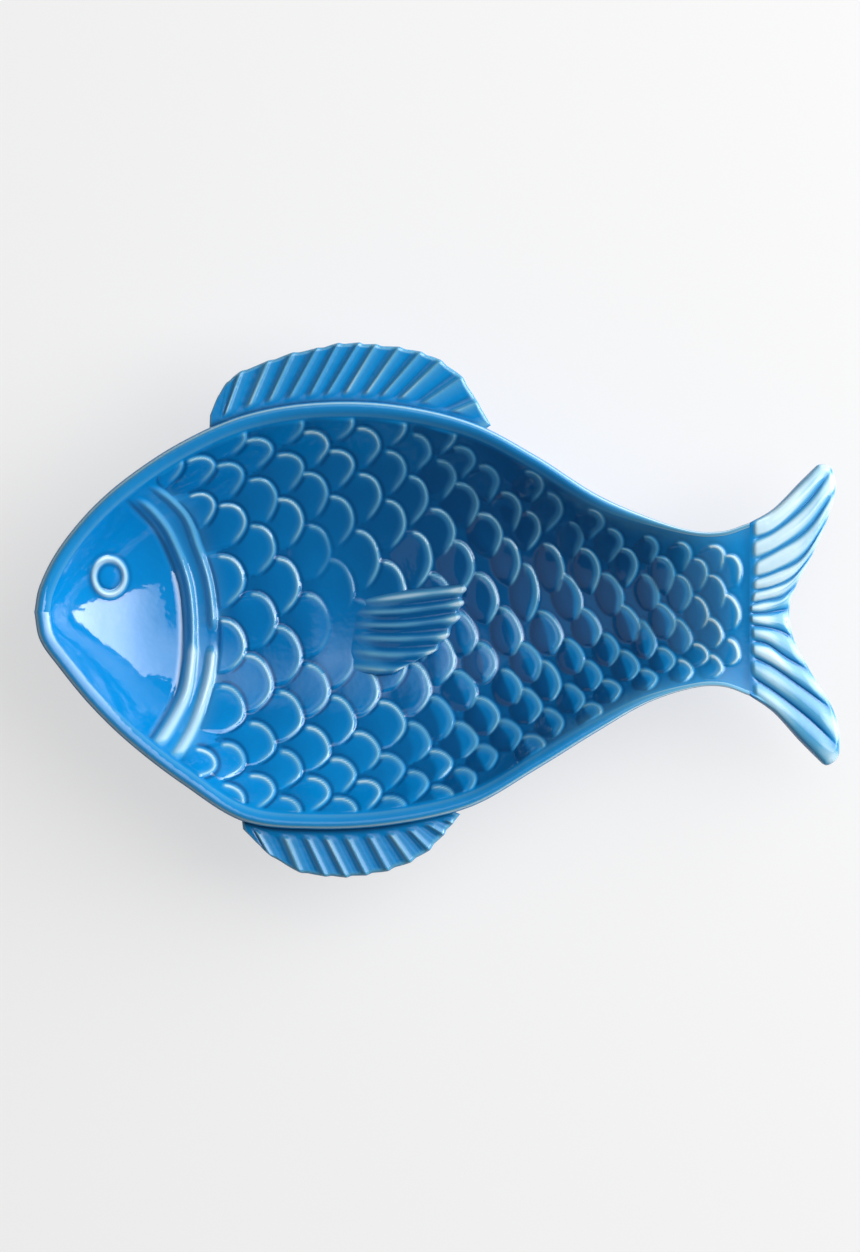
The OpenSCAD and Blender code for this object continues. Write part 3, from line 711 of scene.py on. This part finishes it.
class TailSheet:
    """The tail: u runs over its broad rays and w to its outer edge."""

    EDGE = RIM_SEAT - TAIL_DROP
    BARS = len(TAIL) - 1
    RIM = RIM_W * RIM_TAIL_SHARE
    # Typical lengths in millimetres: of a ray, of a ray up to its rounded edge, and across all rays
    RAY = 45
    EDGE_RAY = 38
    FAN = 95

    def __init__(self, sizes):
        self.sizes = sizes

    def place(self, u, w):
        """x, y and the share along a ray, with rounded outer corners."""
        c = early(w, 1.4)
        corner = rounded(from_side(u) * 55 * MM, 4.5 * MM)
        x, y = fan(TAIL, u, c * (1 - corner / (46 * MM)))
        return x, y, c

    def root(self, u, inset):
        """The share of the depth at the root, and the distance from the root's nearer end."""
        y = WIDE * smooth(TAIL[:, 0, 1], u)
        back, belly = WIDE * TAIL[0, 0, 1], WIDE * TAIL[-1, 0, 1]
        v = (y - (back + belly) / 2) / ((back - belly) / 2 - inset)
        return hollow(np.minimum(np.abs(v), 1)), np.minimum(back - y, y - belly)

    def edge_fall(self, u, c):
        """The gap to the nearest edge, and how far the rounding there drops."""
        gap = np.minimum((1 - c) * self.EDGE_RAY * MM, from_side(u) * self.FAN * MM)
        return gap, rounded(gap, mix(0.6, 2.0, rise(c, 0, 0.4)) * MM)

    def over(self, u, w):
        x, y, c = self.place(u, w)
        depth, side = self.root(u, self.RIM)
        root = RIM_SEAT - WELL_DEEP * BODY[-1, 3] * depth
        root += 0.75 * MM * np.sin(np.pi * unit(side / self.RIM)) * ease(1 - c / 0.4)
        bar = np.abs(np.sin(np.pi * u * self.BARS))
        key = np.floor(u * self.BARS)
        near = ease((c - 0.018 * (1 + stray("bar", key, 0)) - 0.03 * (1 - bar) ** 2) / 0.08)
        far = fall(c, 1, 0.2)
        groove = bell(bar, 0.3) * near * far
        gap, drop = self.edge_fall(u, c)
        z = mix(root, self.EDGE, c**1.6) + self.sizes.tail_ray_height * near * far * (bar**0.7 - 0.45)
        # The rays on the belly side are plainer, with paler tips
        lower = rise(u, 0.4, 0.2)
        lip = bell(gap - 0.9 * MM, 1.3 * MM)
        # Painted glints across the middle of the bars
        painted_glint = 0.95 * bell(c - 0.34, 0.28) * (1 + stray("painted_glint", key, 0))
        fine = bell(np.sin(2 * np.pi * u * self.BARS), 0.6) * rise(c, 0.2, 0.3) * far
        fine = fine * bar * mix(1.0, 0.5, lower)
        tip = 0.5 * lower * rise(c, 0.7, 0.25)
        # The bars are pale from thin glaze and from painted reflection, which is strongest on the back-side
        # lobe
        pale = (mix(1.5, 0.76, lower) + painted_glint + tip) * bar ** mix(0.7, 1.1, lower) + 0.35 * lip
        thin = mix(TAIL_PALE, pale * (1 - mix(0.5, 0.7, lower) * groove) - 0.45 * fine, near)
        pool_and_shade = np.maximum(mix(0.45, 0.7, lower) * groove, SEAM_POOL * bell(c * self.RAY, SEAM_SOFT))
        return x, y, z - drop, thin, pool_and_shade

    def under(self, u, w):
        x, y, c = self.place(u, w)
        depth, _ = self.root(u, OVERHANG * RIM_TAIL_SHARE)
        root = WALL_LOW - UNDER_DEEP * BODY[-1, 3] * depth
        _, drop = self.edge_fall(u, c)
        return plain(x, y, mix(root, self.EDGE - TAIL_T, c**1.3) + drop)


class PectoralSheet:
    """The pectoral fin: u runs over its rays and w to its free edge."""

    RAYS = len(PECTORAL) - 1

    def __init__(self, sizes):
        self.sizes = sizes

    def over(self, u, w):
        f = mix(-0.09, 1.07, u)
        ridge = unit((1 + np.cos(2 * np.pi * f * self.RAYS)) / 2) ** 1.1
        c = early(w, 1.5)
        x, y = fan(PECTORAL, f, c * (1 - 0.026 * (1 - ridge)))
        gap = np.minimum(42 * MM * (1 - c), from_side(u) * 26 * MM * rise(c, 0, 0.8))
        lift = mix(0.1 * MM, self.sizes.pectoral_height, rise(c, 0, 0.9))
        lift = lift + 0.9 * MM * (ridge - 0.5) * rise(c, 0.05, 0.35)
        near = 1 - unit(gap / (1.5 * MM))
        lift = lift * np.sqrt(unit(1 - near**2)) - mix(0.15, 0.5, c) * MM * near
        # The root dips a little under the well's surface
        z = well_height(x, y) + 1.2 * MM * rise(c, 0.05, 0.5) + lift - 0.4 * MM * (1 - rise(c, 0, 0.12))
        tip = bell(gap - 1.2 * MM, 1.4 * MM)
        line = ridge**3 * (0.85 - 0.45 * bell(c - 0.74, 0.12)) * rise(c, 0.05, 0.3)
        first = bell(f * self.RAYS, 0.3) * rise(c, 0.1, 0.3)
        ends = ridge**1.3 * rise(c, 0.84, 0.12)
        thin = line + 0.45 * first + 0.95 * ends + 0.3 * tip * rise(c, 0, 0.5)
        between = unit((1 - ridge) * 0.7 * rise(c, 0, 0.3)) * (1 - tip)
        # Between the rays the glaze pools, and the well's painted shade lies over the whole fin
        return x, y, z, thin, 1 - (1 - between) * (1 - painted_well_shade(x, y))

    def under(self, u, w):
        x, y = self.over(u, w)[:2]
        return plain(x, y, well_height(x, y) - 0.8 * MM)


# Meshes

# Steps of a sheet's upper grid to one of its lower grid
COARSE = 4


def on_seam(edge, place, seams):
    """Whether an edge lies on one of the seams, each an axis and a place on it."""
    return any(all(abs(place[v.index, axis] - at) < 1e-6 for v in edge.verts) for axis, at in seams)


def closed_sheet(name, sheet, rows, cols, fold=False, seams=()):
    """Models a closed piece between a fine upper sheet and a coarser lower one."""
    bm = bmesh.new()
    thin_layer = bm.verts.layers.float.new("thin")
    pool_and_shade_layer = bm.verts.layers.float.new("pool_and_shade")
    bmesh.ops.create_grid(bm, x_segments=rows, y_segments=cols, size=0.5)
    upper = len(bm.verts)
    bmesh.ops.create_grid(bm, x_segments=rows // COARSE, y_segments=cols // COARSE, size=0.5)
    bm.verts.index_update()
    rough = [e for e in bm.edges if e.is_boundary and e.verts[0].index >= upper]
    bmesh.ops.subdivide_edges(bm, edges=rough, cuts=COARSE - 1)
    bm.verts.index_update()
    place = np.array([v.co[:2] for v in bm.verts]) + 0.5
    ends = [v for v in bm.verts if place[v.index, 0] < 1e-6]
    sharp = [e for e in bm.edges if e.is_boundary and on_seam(e, place, seams)]
    over = sheet.over(place[:upper, 0], place[:upper, 1])
    under = sheet.under(place[upper:, 0], place[upper:, 1])
    made = np.concatenate([np.array(over), np.array(under)], axis=1).T
    made[:, :3] = np.clip(made[:, :3], *CAD_BOX)
    for vert, row in zip(bm.verts, made):
        vert.co = row[:3]
        vert[thin_layer] = row[3]
        vert[pool_and_shade_layer] = row[4]
    for e in sharp:
        e.smooth = False
    if fold:
        bmesh.ops.remove_doubles(bm, verts=ends, dist=1e-6)
    bmesh.ops.bridge_loops(bm, edges=[e for e in bm.edges if e.is_boundary])
    bmesh.ops.dissolve_degenerate(bm, dist=1e-7, edges=bm.edges)
    bmesh.ops.recalc_face_normals(bm, faces=bm.faces)
    return finished(bm, name)


def placed(name, data):
    """A new object in the scene."""
    thing = bpy.data.objects.new(name, data)
    bpy.context.scene.collection.objects.link(thing)
    return thing


def modelled(bm, name):
    """Turns a bmesh into an object."""
    mesh = bpy.data.meshes.new(name)
    bm.to_mesh(mesh)
    bm.free()
    return placed(name, mesh)


def finished(bm, name):
    """Turns a bmesh into a smooth object that rides on the dish."""
    for face in bm.faces:
        face.smooth = True
    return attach(modelled(bm, name), "root")


def dressed(piece, material, slot, *nodes):
    """Gives a piece its material and hides the nodes that it stands for; its slot is not used."""
    piece.data.materials.clear()
    piece.data.materials.append(material)
    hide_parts(*nodes)
    return piece


# Materials

# Roughness, cloud scale, ripple scale, bump strength and bump distance
GLAZE_SURFACE = (0.07, 26.0, 330.0, 0.12, 0.0006)
CLAY_SURFACE = (0.85, 90.0, 2600.0, 0.5, 0.0003)
GLAZE_IOR = 1.6
# Share of bright paper in what the camera sees of the floor
FLOOR_SOFTENED = 0.65


def link(tree, source, target):
    """Links an output to an input."""
    tree.links.new(source, target)


def added(tree, kind, **values):
    """A new node, with values for its inputs, whose names have _ for a space."""
    node = tree.nodes.new("ShaderNode" + kind)
    for name, value in values.items():
        node.inputs[name.replace("_", " ")].default_value = value
    return node


def fired_variation():
    """A node group of the unevenness that a kiln leaves: a wide cloud and a fine ripple."""
    found = bpy.data.node_groups.get("fired_variation")
    if found:
        return found
    group = bpy.data.node_groups.new("fired_variation", "ShaderNodeTree")
    for name, default in (("Cloud Scale", 30.0), ("Ripple Scale", 260.0)):
        socket = group.interface.new_socket(name, in_out="INPUT", socket_type="NodeSocketFloat")
        socket.default_value = default
    for name in ("Cloud", "Ripple"):
        group.interface.new_socket(name, in_out="OUTPUT", socket_type="NodeSocketFloat")
    taken = group.nodes.new("NodeGroupInput")
    given = group.nodes.new("NodeGroupOutput")
    where = added(group, "TexCoord")
    for kind, detail in (("Cloud", 3.0), ("Ripple", 1.0)):
        noise = added(group, "TexNoise", Detail=detail, Roughness=0.5)
        link(group, where.outputs["Object"], noise.inputs["Vector"])
        link(group, taken.outputs[kind + " Scale"], noise.inputs["Scale"])
        link(group, noise.outputs["Fac"], given.inputs[kind])
    return group


def blank_material(name, **values):
    """A material with a Principled shader with those values."""
    material = bpy.data.materials.new(name)
    material.use_nodes = True
    tree = material.node_tree
    tree.nodes.clear()
    shader = added(tree, "BsdfPrincipled", **values)
    out = added(tree, "OutputMaterial")
    link(tree, shader.outputs["BSDF"], out.inputs["Surface"])
    return material, tree, shader, out


def colour_mix(tree, factor, a, b):
    """Mixes two colours, each a socket or plain numbers."""
    node = added(tree, "Mix")
    node.data_type = "RGBA"
    for key, value in (("Factor_Float", factor), ("A_Color", a), ("B_Color", b)):
        socket = next(s for s in node.inputs if s.identifier == key)
        if isinstance(value, bpy.types.NodeSocket):
            link(tree, value, socket)
        else:
            socket.default_value = value
    return next(s for s in node.outputs if s.identifier == "Result_Color")


def scaled(tree, value, low, high, out_low, out_high):
    """Maps a value from one range to another."""
    node = added(tree, "MapRange", From_Min=low, From_Max=high, To_Min=out_low, To_Max=out_high)
    link(tree, value, node.inputs["Value"])
    return node.outputs["Result"]


def fired(name, surface, **values):
    """A material with the kiln's ripple as bump, and the output of its cloud."""
    roughness, cloud_scale, ripple_scale, strength, distance = surface
    material, tree, shader, _ = blank_material(name, Roughness=roughness, **values)
    group = added(tree, "Group")
    group.node_tree = fired_variation()
    group.inputs["Cloud Scale"].default_value = cloud_scale
    group.inputs["Ripple Scale"].default_value = ripple_scale
    bump = added(tree, "Bump", Strength=strength, Distance=distance)
    link(tree, group.outputs["Ripple"], bump.inputs["Height"])
    link(tree, bump.outputs["Normal"], shader.inputs["Normal"])
    return material, tree, shader, group.outputs["Cloud"]


def mesh_value(tree, name):
    """The output of a value that the mesh carries."""
    node = added(tree, "Attribute")
    node.attribute_name = name
    return node.outputs["Fac"]


def blue_glaze(colours):
    """Glossy blue glaze, pale where it is thin and where highlight is painted, dark where it pools and where
    shade is painted.
    """
    found = bpy.data.materials.get("blue_glaze_fired")
    if found:
        return found
    material, tree, shader, cloud = fired("blue_glaze_fired", GLAZE_SURFACE, IOR=GLAZE_IOR)
    # The paleness holds thin glaze and painted highlight; the pooling holds pooled glaze and painted shade
    thin, pool_and_shade = (mesh_value(tree, name) for name in ("thin", "pool_and_shade"))
    ground = colours.glaze
    for share, tint in (
        (scaled(tree, cloud, 0.3, 0.7, 0.0, 1.0), colours.glaze_soft),
        (scaled(tree, pool_and_shade, 0.0, 1.0, 0.0, 0.85), colours.glaze_deep),
        (scaled(tree, thin, 0.05, 1.0, 0.0, 1.0), colours.glaze_pale),
        (scaled(tree, thin, 0.9, 1.7, 0.0, 0.9), colours.glaze_milky),
    ):
        ground = colour_mix(tree, share, ground, tint)
    link(tree, ground, shader.inputs["Base Color"])
    return material


def bare_clay(colours):
    """Matt fired clay with a fine gritty tooth."""
    found = bpy.data.materials.get("bare_clay_fired")
    if found:
        return found
    material, tree, shader, cloud = fired("bare_clay_fired", CLAY_SURFACE)
    toasted = [c * 0.82 for c in colours.clay[:3]] + [1.0]
    grain = scaled(tree, cloud, 0.35, 0.65, 0.0, 1.0)
    link(tree, colour_mix(tree, grain, colours.clay, toasted), shader.inputs["Base Color"])
    return material


def pale_floor(colours):
    """A matt floor whose shadows the camera sees softened, as on bright paper."""
    material, tree, shader, out = blank_material("pale_floor", Base_Color=colours.floor, Roughness=0.8)
    paper = added(tree, "Emission", Color=(0.95, 0.95, 0.95, 1))
    seen = added(tree, "LightPath")
    mixed = added(tree, "MixShader")
    share = scaled(tree, seen.outputs["Is Camera Ray"], 0.0, 1.0, 0.0, FLOOR_SOFTENED)
    link(tree, share, mixed.inputs["Fac"])
    link(tree, shader.outputs["BSDF"], mixed.inputs[1])
    link(tree, paper.outputs["Emission"], mixed.inputs[2])
    link(tree, mixed.outputs["Shader"], out.inputs["Surface"])
    return material


# Stage

# The picture's height and middle, and the fish's length and middle in it, in pixels
PICTURE_TALL = 1252
PICTURE_MIDDLE = (430, 626)
FISH_LONG = 806
FISH_MIDDLE = (437, 610)
CAMERA_HIGH = 6.0
SENSOR = 36


def lay_floor(material):
    """Lays the floor under the dish."""
    bm = bmesh.new()
    bmesh.ops.create_grid(bm, x_segments=4, y_segments=4, size=3)
    floor = modelled(bm, "floor")
    floor.data.materials.append(material)


def overhead():
    """A camera high above the dish, with almost no perspective."""
    lens = bpy.data.cameras.new("overhead_camera")
    lens.sensor_fit = "VERTICAL"
    lens.sensor_height = SENSOR
    pixel = LONG / FISH_LONG
    lens.lens = SENSOR * (CAMERA_HIGH - TALL) / (PICTURE_TALL * pixel)
    camera = placed("overhead_camera", lens)
    right = PICTURE_MIDDLE[0] - FISH_MIDDLE[0]
    up = FISH_MIDDLE[1] - PICTURE_MIDDLE[1]
    camera.location = (right * pixel, up * pixel, CAMERA_HIGH)
    return camera


def softbox(name, azimuth, elevation, distance, size, power):
    """A lamp that faces the dish. Azimuth 0 is behind the tail and 90 beyond the dorsal fin."""
    light = bpy.data.lights.new(name, "AREA")
    light.shape = "RECTANGLE"
    light.size, light.size_y = size
    light.energy = power
    lamp = placed(name, light)
    a, e = math.radians(azimuth), math.radians(elevation)
    way = np.array([math.cos(e) * math.cos(a), math.cos(e) * math.sin(a), math.sin(e)])
    lamp.location = way * distance
    lamp.rotation_euler = (math.pi / 2 - e, 0, a + math.pi / 2)
    return light


def face_of(light):
    """A lamp's node tree, the output of the place on its face, and the input of its strength."""
    light.use_nodes = True
    tree = light.node_tree
    emission = next(n for n in tree.nodes if n.type == "EMISSION")
    return tree, added(tree, "NewGeometry").outputs["Parametric"], emission.inputs["Strength"]


def soft_edged(light):
    """Fades a lamp to its edge, so that its reflection has no hard line."""
    tree, where, strength = face_of(light)
    away = added(tree, "VectorMath")
    away.operation = "DISTANCE"
    away.inputs[1].default_value = (0.5, 0.5, 0)
    link(tree, where, away.inputs[0])
    link(tree, scaled(tree, away.outputs["Value"], 0.12, 0.5, 1.0, 0.0), strength)


def graded(light):
    """Fades a lamp towards its top and its far side, as if lit from a corner."""
    tree, where, strength = face_of(light)
    split = added(tree, "SeparateXYZ")
    link(tree, where, split.inputs["Vector"])
    both = added(tree, "Math")
    both.operation = "MULTIPLY"
    for i, axis, start, end in ((0, "X", 0.15, 0.42), (1, "Y", 0.1, 0.14)):
        link(tree, scaled(tree, split.outputs[axis], start, 1.0, 1.0, end), both.inputs[i])
    link(tree, both.outputs["Value"], strength)


# Settings


def length(name, text, default):
    """A property for a length."""
    return bpy.props.FloatProperty(
        name=name, description=text, default=default, min=0, unit="LENGTH", subtype="DISTANCE", precision=5
    )


def colour(name, text, default):
    """A property for a colour."""
    return bpy.props.FloatVectorProperty(
        name=name, description=text, default=default, size=4, min=0, max=1, subtype="COLOR"
    )


class FishDishSizes(bpy.types.PropertyGroup):
    """Heights of the raised detail"""

    scale_height: length("Scale Height", "Height of a scale over the well", 1.7 * MM)
    scale_line: length("Scale Line", "Half width of the pale line round a scale", 0.62 * MM)
    gill_height: length("Gill Height", "Height of the gill cover's ridges", 1.8 * MM)
    eye_height: length("Eye Ring Height", "Height of the ring round the eye", 1.5 * MM)
    eye_dome: length("Eye Dome Height", "Height of the dome in the eye", 1.1 * MM)
    ray_height: length("Ray Height", "Height of the side fins' rays", 1.2 * MM)
    tail_ray_height: length("Tail Ray Height", "Height of the tail's broad rays", 1.4 * MM)
    pectoral_height: length("Pectoral Height", "Height of the pectoral fin's free edge", 3.0 * MM)


class FishDishColours(bpy.types.PropertyGroup):
    """Colours of the glaze and the clay"""

    glaze: colour("Glaze", "The glaze's main blue", (0.001, 0.225, 0.585, 1))
    glaze_soft: colour("Soft Glaze", "The glaze where it clouds lighter", (0.001, 0.262, 0.66, 1))
    # The pooled colour also carries painted shade, and the thin and milky colours painted highlight
    glaze_deep: colour("Pooled Glaze and Shade", "The glaze where it lies thick, and painted shade", (0.001, 0.058, 0.20, 1))
    glaze_pale: colour("Thin Glaze and Highlight", "The glaze where it runs off an edge, and painted highlight", (0.12, 0.40, 0.62, 1))
    glaze_milky: colour("Milky Glaze and Highlight", "The glaze at its thinnest", (0.60, 0.80, 0.91, 1))
    clay: colour("Clay", "The bare clay of the foot", (0.72, 0.64, 0.54, 1))
    floor: colour("Floor", "The floor that the dish stands on", (0.86, 0.86, 0.86, 1))


# Operators


def glazed(context, name, sheet, *nodes, **how):
    """Models a glazed piece that stands for those nodes of the part."""
    piece = closed_sheet(name, sheet, **how)
    dressed(piece, blue_glaze(context.scene.fish_dish_colours), "blue_glaze", *nodes)


class DISH_OT_head(bpy.types.Operator):
    """Models the head from the nose to the gill cover, with its eye, ridges and rim"""

    bl_idname = "fish_dish.head"
    bl_label = "Head"

    def execute(self, context):
        sheet = BodySheet(context.scene.fish_dish_sizes, head=True)
        nodes = ("gill_front", "gill_rear", "eye_ring", "eye_dome")
        glazed(context, "head", sheet, *nodes, rows=200, cols=sheet.ACROSS, fold=True, seams=((0, 1),))
        return {"FINISHED"}


class DISH_OT_body(bpy.types.Operator):
    """Models the scaled well behind the gill cover, with its rim and underside"""

    bl_idname = "fish_dish.body"
    bl_label = "Scaled Body"

    def execute(self, context):
        sheet = BodySheet(context.scene.fish_dish_sizes, head=False)
        nodes = ("bowl", "rim", "scales")
        seams = ((0, 0), (0, 1))
        glazed(context, "scaled_body", sheet, *nodes, rows=352, cols=sheet.ACROSS, seams=seams)
        return {"FINISHED"}


class DISH_OT_fins(bpy.types.Operator):
    """Models the rayed fins outside the rim on the back and the belly"""

    bl_idname = "fish_dish.fins"
    bl_label = "Side Fins"

    def execute(self, context):
        for name, rays, side in (("dorsal", DORSAL, 1), ("ventral", VENTRAL, -1)):
            sheet = FinSheet(context.scene.fish_dish_sizes, rays, side)
            glazed(context, name + "_rays", sheet, name + "_fin", rows=16 * sheet.last, cols=48)
        return {"FINISHED"}


class DISH_OT_tail(bpy.types.Operator):
    """Models the two-lobed tail"""

    bl_idname = "fish_dish.tail"
    bl_label = "Tail"

    def execute(self, context):
        sheet = TailSheet(context.scene.fish_dish_sizes)
        rows = 20 * sheet.BARS
        glazed(context, "tail_lobes", sheet, "tail_fin", rows=rows, cols=96, seams=((1, 0),))
        return {"FINISHED"}


class DISH_OT_pectoral(bpy.types.Operator):
    """Models the pectoral fin on the flank"""

    bl_idname = "fish_dish.pectoral"
    bl_label = "Pectoral Fin"

    def execute(self, context):
        sheet = PectoralSheet(context.scene.fish_dish_sizes)
        glazed(context, "pectoral_rays", sheet, "pectoral_fin", rows=120, cols=96)
        return {"FINISHED"}


class DISH_OT_foot(bpy.types.Operator):
    """Models the bare foot ring with its softened edges"""

    bl_idname = "fish_dish.foot"
    bl_label = "Foot Ring"

    def execute(self, context):
        low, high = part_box("foot_ring")
        centre, half = (low + high) / 2, (high - low) / 2
        bm = bmesh.new()
        for inset in (0, FOOT_W):
            for vert in bmesh.ops.create_circle(bm, segments=160, radius=1)["verts"]:
                vert.co.x = centre.x + vert.co.x * (half.x - inset)
                vert.co.y = centre.y + vert.co.y * (half.y - inset)
                vert.co.z = low.z
        band = bmesh.ops.bridge_loops(bm, edges=list(bm.edges))["faces"]
        raised = bmesh.ops.extrude_face_region(bm, geom=band, use_keep_orig=True)["geom"]
        lifted = [g for g in raised if isinstance(g, bmesh.types.BMVert)]
        bmesh.ops.translate(bm, verts=lifted, vec=(0, 0, high.z - low.z))
        bmesh.ops.recalc_face_normals(bm, faces=bm.faces)
        edges = [e for e in bm.edges if e.calc_face_angle(0) > 1 and e.verts[0].co.z < low.z + MM / 2]
        bmesh.ops.bevel(
            bm, geom=edges, offset=0.9 * MM, affect="EDGES", segments=4, profile=0.5, material=-1
        )
        piece = finished(bm, "bare_foot")
        dressed(piece, bare_clay(context.scene.fish_dish_colours), "bare_clay", "foot_ring")
        return {"FINISHED"}


class DISH_OT_stage(bpy.types.Operator):
    """Sets the pale floor, the studio lamps and the camera above the dish"""

    bl_idname = "fish_dish.stage"
    bl_label = "Stage"

    def execute(self, context):
        scene = context.scene
        lay_floor(pale_floor(scene.fish_dish_colours))
        graded(softbox("key_softbox", 24, 37, distance=1.5, size=(1.46, 1.95), power=99))
        soft_edged(softbox("ceiling_softbox", 72, 68, distance=2.3, size=(2.2, 2.0), power=19))
        softbox("fill_panel", 188, 42, distance=1.7, size=(2.0, 2.0), power=3.2)
        scene.world = bpy.data.worlds.new("studio")
        scene.world.use_nodes = True
        back = scene.world.node_tree.nodes["Background"]
        back.inputs["Color"].default_value = (1, 1, 1, 1)
        back.inputs["Strength"].default_value = 0.05
        scene.view_settings.view_transform = "Standard"
        scene.camera = overhead()
        return {"FINISHED"}


class DISH_PT_panel(bpy.types.Panel):
    """Lists the dish's pieces in the sidebar"""

    bl_idname = "DISH_PT_panel"
    bl_label = "Fish Dish"
    bl_space_type = "VIEW_3D"
    bl_region_type = "UI"
    bl_category = "Fish Dish"

    def draw(self, context):
        for group in (context.scene.fish_dish_sizes, context.scene.fish_dish_colours):
            box = self.layout.box()
            for name in group.bl_rna.properties.keys():
                if name not in ("rna_type", "name"):
                    box.prop(group, name)
        for operator in OPERATORS:
            self.layout.operator(operator.bl_idname)


OPERATORS = (
    DISH_OT_head, DISH_OT_body, DISH_OT_fins, DISH_OT_tail, DISH_OT_pectoral, DISH_OT_foot, DISH_OT_stage,
)
CLASSES = (FishDishSizes, FishDishColours, *OPERATORS, DISH_PT_panel)


def register():
    for cls in CLASSES:
        bpy.utils.register_class(cls)
    bpy.types.Scene.fish_dish_sizes = bpy.props.PointerProperty(type=FishDishSizes)
    bpy.types.Scene.fish_dish_colours = bpy.props.PointerProperty(type=FishDishColours)


def unregister():
    del bpy.types.Scene.fish_dish_sizes
    del bpy.types.Scene.fish_dish_colours
    for cls in reversed(CLASSES):
        bpy.utils.unregister_class(cls)


def main():
    """Makes every piece in order."""
    register()
    for operator in OPERATORS:
        getattr(bpy.ops.fish_dish, operator.bl_idname.split(".")[1])()


if __name__ == "__main__":
    main()
